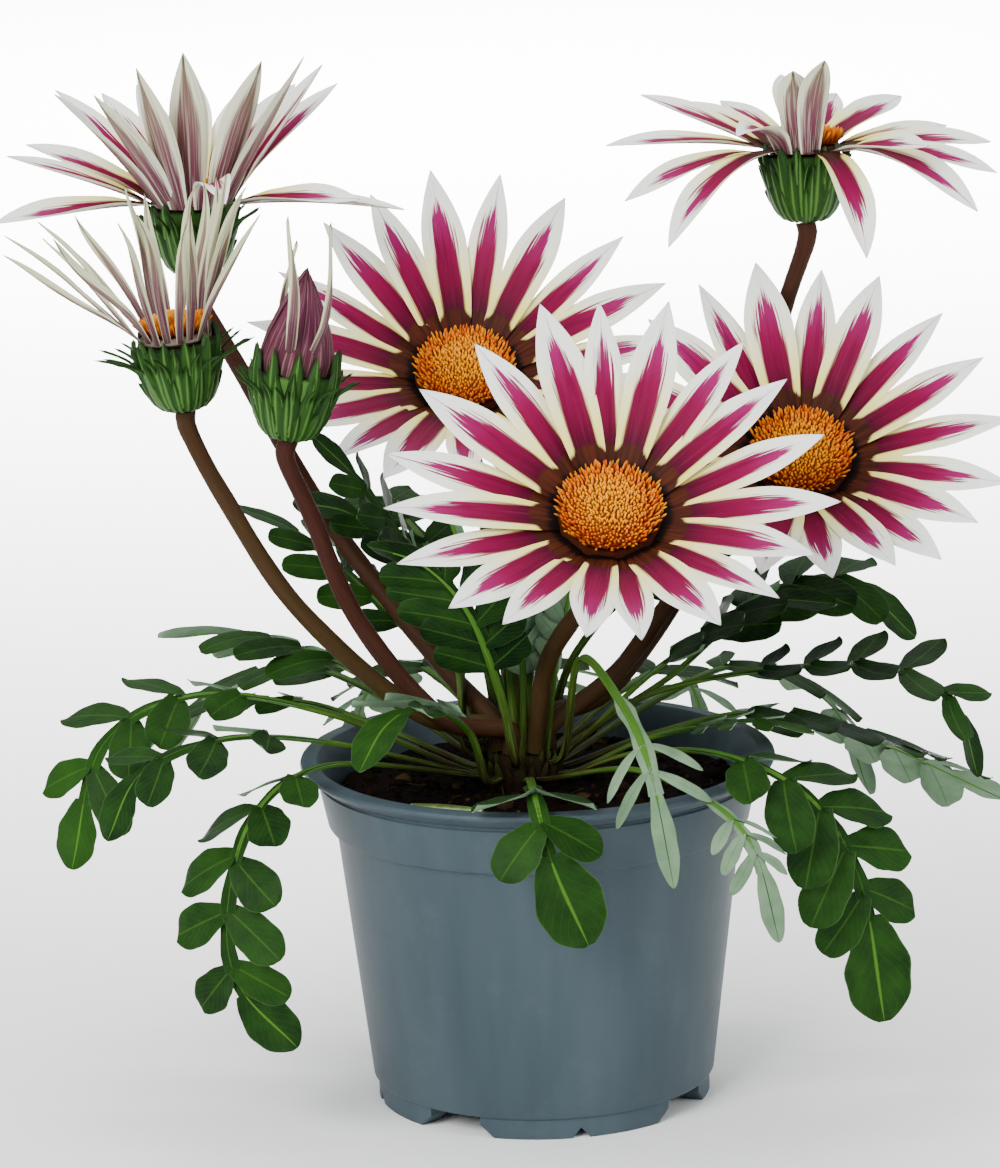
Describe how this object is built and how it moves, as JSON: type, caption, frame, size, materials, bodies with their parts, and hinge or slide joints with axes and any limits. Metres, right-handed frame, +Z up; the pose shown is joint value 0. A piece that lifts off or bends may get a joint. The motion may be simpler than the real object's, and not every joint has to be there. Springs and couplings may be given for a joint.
{
  "type": "potted gazania",
  "caption": "Flowering gazania in a round moulded nursery pot: striped daisy heads on bare stems, a closed bud, and lobed leaves that hang over the rim.",
  "frame": {"origin": "middle of the plant's bounding box, at the underside of the pot's feet", "axes": "+Z up along the pot's axis, -Y the side that faces the viewer, +X to the viewer's right"},
  "size_m": [0.2566, 0.1984, 0.2643],
  "materials": {
    "bud_petals": "wrapped purple pink petals, satin",
    "disc_florets": "yellow orange disc florets, matte",
    "flower_bracts": "green overlapping bracts, matte",
    "flower_stem": "reddish brown to olive fleshy stem, soft sheen",
    "leaf_green": "dark green lobed leaf, soft sheen",
    "leaf_underside": "pale downy leaf underside, matte",
    "pale_leaf_stalk": "pale green cut leaf stalk",
    "pot_plastic": "moulded polypropylene, grey blue, semi-matte",
    "potting_soil": "dark moist peat potting soil, matte",
    "rootstock": "short brown green rootstock, matte",
    "striped_petals": "white petals with a magenta stripe, satin",
    "wilting_petals": "rolled dry cream petals with purple streaks"
  },
  "bodies": {
    "root": {"crown": "rootstock", "cup_back_left": "flower_bracts", "cup_bud": "flower_bracts", "cup_front": "flower_bracts", "cup_right": "flower_bracts", "cup_top_left": "flower_bracts", "cup_top_right": "flower_bracts", "cup_wilting": "flower_bracts", "cut_petiole": "pale_leaf_stalk", "disc_back_left": "disc_florets", "disc_front": "disc_florets", "disc_right": "disc_florets", "disc_top_left": "disc_florets", "disc_top_right": "disc_florets", "disc_wilting": "disc_florets", "leaf_back": "leaf_green", "leaf_back_far_left": "leaf_green", "leaf_back_left": "leaf_green", "leaf_back_left_low": "leaf_green", "leaf_back_right": "leaf_green", "leaf_back_right_low": "leaf_green", "leaf_back_upright": "leaf_green", "leaf_back_upright_left": "leaf_green", "leaf_far_left": "leaf_green", "leaf_far_right": "leaf_underside", "leaf_front": "leaf_green", "leaf_front_left": "leaf_green", "leaf_front_low_right": "leaf_underside", "leaf_left": "leaf_green", "leaf_left_front": "leaf_green", "leaf_left_hanging": "leaf_green", "leaf_left_high": "leaf_green", "leaf_left_middle": "leaf_green", "leaf_left_pale": "leaf_underside", "leaf_left_raised": "leaf_green", "leaf_pale_front": "leaf_underside", "leaf_right_broad": "leaf_green", "leaf_right_curled": "leaf_green", "leaf_right_dark": "leaf_green", "leaf_right_hanging": "leaf_green", "leaf_right_serrated": "leaf_green", "leaf_right_upright": "leaf_green", "leaf_tall": "leaf_green", "petals_back_left": "striped_petals", "petals_bud": "bud_petals", "petals_front": "striped_petals", "petals_right": "striped_petals", "petals_top_left": "striped_petals", "petals_top_right": "striped_petals", "petals_wilting": "wilting_petals", "pot": "pot_plastic", "soil": "potting_soil", "stem_back_left": "flower_stem", "stem_bud": "flower_stem", "stem_front": "flower_stem", "stem_right": "flower_stem", "stem_top_left": "flower_stem", "stem_top_right": "flower_stem", "stem_wilting": "flower_stem"}
  },
  "joints": []
}
